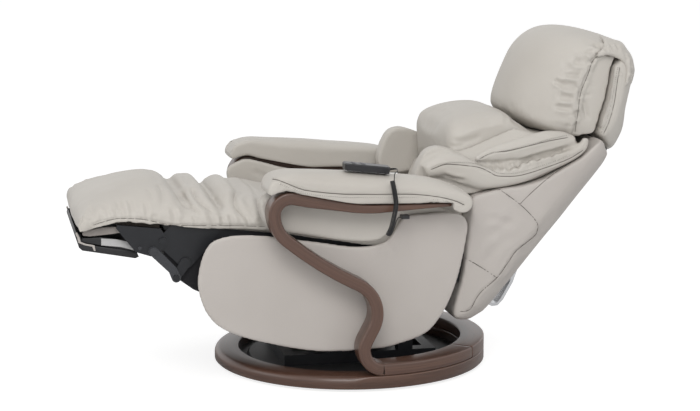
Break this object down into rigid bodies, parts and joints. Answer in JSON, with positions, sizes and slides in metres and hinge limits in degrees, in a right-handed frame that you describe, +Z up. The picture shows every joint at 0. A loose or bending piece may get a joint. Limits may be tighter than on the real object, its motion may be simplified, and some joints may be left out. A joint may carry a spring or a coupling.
{
  "type": "reclining relax chair",
  "caption": "Swivel recliner with padded seat, folding legrest, reclining back, tilting headrest and bentwood arms on a wooden ring base, with a corded handset.",
  "frame": {"origin": "centre of the floor plate where it stands on the floor, on the swivel axis", "axes": "+Z up along the swivel axis, +X to the rear of the chair, -X the way the sitter faces, +Y to the sitter's right; drawn reclined with the legrest out"},
  "size_m": [1.5653, 0.7975, 0.9139],
  "materials": {
    "walnut": "satin walnut stain",
    "leather": "smooth warm light grey leather",
    "rubber": "matte black",
    "black_plastic": "satin black",
    "button_grey": "soft grey",
    "brushed_aluminium": "brushed",
    "bright_steel": "zinc plated",
    "board": "dark stained plywood",
    "black_steel": "black powder coat"
  },
  "bodies": {
    "base": {"floor_plate": "black_steel", "floor_glide": "rubber", "race_lower": "bright_steel", "bearing_balls": "bright_steel"},
    "turntable": {"race_upper": "bright_steel", "turn_disc": "black_steel", "base_ring": "walnut", "rear_arc": "walnut", "bow_left": "walnut", "bow_right": "walnut", "arm_pad_left": "leather", "arm_pad_right": "leather", "arm_inner_left": "leather", "arm_inner_right": "leather", "side_panel_left": "leather", "side_panel_right": "leather", "chassis": "black_steel", "arm_beams": "black_steel", "arm_spacers": "black_steel", "control_box": "black_plastic", "cord_clip": "black_plastic", "handset_lead": "rubber", "curly_cord": "rubber", "cord_tail": "rubber"},
    "seat": {"seat_frame": "black_steel", "seat_springs": "bright_steel", "pivot_pins": "brushed_aluminium", "hanger_plates": "black_steel", "seat_cushion": "leather", "seat_apron": "black_plastic", "legrest_motor": "black_plastic"},
    "legrest": {"legrest_board": "board", "legrest_brackets": "black_steel", "legrest_bolts": "black_steel", "legrest_cushion": "leather", "tray_runners": "bright_steel"},
    "tray": {"foot_tray": "black_plastic"},
    "legrest_crank": {"crank_shaft": "black_steel"},
    "legrest_pushrod": {"pushrods": "black_steel"},
    "back": {"back_shell": "leather", "back_hinges": "black_steel", "lumbar_cushion": "leather", "upper_back_cushion": "leather", "wing_left": "leather", "wing_right": "leather", "handle_base": "black_plastic", "handle_bow": "brushed_aluminium", "massage_motors": "black_plastic"},
    "headrest": {"head_shell": "leather", "head_cushion": "leather", "head_hinge": "black_steel"},
    "recline_tube": {"back_motor_tube": "black_steel"},
    "recline_rod": {"back_motor_rod": "brushed_aluminium"},
    "handset": {"handset_case": "black_plastic"},
    "button_back_up": {"button_back_up": "button_grey"},
    "button_back_down": {"button_back_down": "button_grey"},
    "button_legs_up": {"button_legs_up": "button_grey"},
    "button_legs_down": {"button_legs_down": "button_grey"}
  },
  "joints": [
    {"name": "swivel", "type": "hinge", "parent": "base", "child": "turntable", "pos_m": [0, 0, 0], "axis": [0, 0, 1], "continuous": true},
    {"name": "seat_tilt", "type": "hinge", "parent": "turntable", "child": "seat", "pos_m": [-0.06, 0, 0.345], "axis": [0, -1, 0], "range_deg": [0, 7]},
    {"name": "back_recline", "type": "hinge", "parent": "seat", "child": "back", "pos_m": [0.185, 0, 0.33003], "axis": [0, -1, 0], "range_deg": [0, 22]},
    {"name": "headrest_tilt", "type": "hinge", "parent": "back", "child": "headrest", "pos_m": [0.70108, 0, 0.58103], "axis": [0, -1, 0], "range_deg": [-22, 0]},
    {"name": "legrest_fold", "type": "hinge", "parent": "seat", "child": "legrest", "pos_m": [-0.54224, 0, 0.39716], "axis": [0, -1, 0], "range_deg": [0, 72]},
    {"name": "tray_slide", "type": "slide", "parent": "legrest", "child": "tray", "axis": [-0.9925, 0, 0.1219], "range_m": [0, 0.04]},
    {"name": "crank_turn", "type": "hinge", "parent": "seat", "child": "legrest_crank", "pos_m": [-0.48418, 0, 0.33663], "axis": [0, -1, 0], "range_deg": [0, 64.19]},
    {"name": "pushrod_knee", "type": "hinge", "parent": "legrest_crank", "child": "legrest_pushrod", "pos_m": [-0.50891, 0, 0.29937], "axis": [0, -1, 0], "range_deg": [-59.14, 0]},
    {"name": "recline_tube_swing", "type": "hinge", "parent": "seat", "child": "recline_tube", "pos_m": [-0.23726, 0, 0.29624], "axis": [0, -1, 0], "range_deg": [0, 2.56]},
    {"name": "recline_rod_slide", "type": "slide", "parent": "recline_tube", "child": "recline_rod", "axis": [0.9845, 0, -0.1755], "range_m": [0, 0.03816]},
    {"name": "handset_lift", "type": "slide", "parent": "turntable", "child": "handset", "axis": [0.1184, 0, 0.993], "range_m": [0, 0.08]},
    {"name": "button_back_up_press", "type": "slide", "parent": "handset", "child": "button_back_up", "axis": [-0.1184, 0, -0.993], "range_m": [0, 0.0015], "stiffness_N_per_m": 400, "springref_m": -0.001},
    {"name": "button_back_down_press", "type": "slide", "parent": "handset", "child": "button_back_down", "axis": [-0.1184, 0, -0.993], "range_m": [0, 0.0015], "stiffness_N_per_m": 400, "springref_m": -0.001},
    {"name": "button_legs_up_press", "type": "slide", "parent": "handset", "child": "button_legs_up", "axis": [-0.1184, 0, -0.993], "range_m": [0, 0.0015], "stiffness_N_per_m": 400, "springref_m": -0.001},
    {"name": "button_legs_down_press", "type": "slide", "parent": "handset", "child": "button_legs_down", "axis": [-0.1184, 0, -0.993], "range_m": [0, 0.0015], "stiffness_N_per_m": 400, "springref_m": -0.001}
  ],
  "couplings": [
    {"joint": "crank_turn", "follows": "legrest_fold", "ratio": 0.89127},
    {"joint": "pushrod_knee", "follows": "legrest_fold", "ratio": -0.82117},
    {"joint": "recline_tube_swing", "follows": "back_recline", "ratio": 0.11528},
    {"joint": "recline_rod_slide", "follows": "back_recline", "m_per_rad": 0.099111}
  ]
}
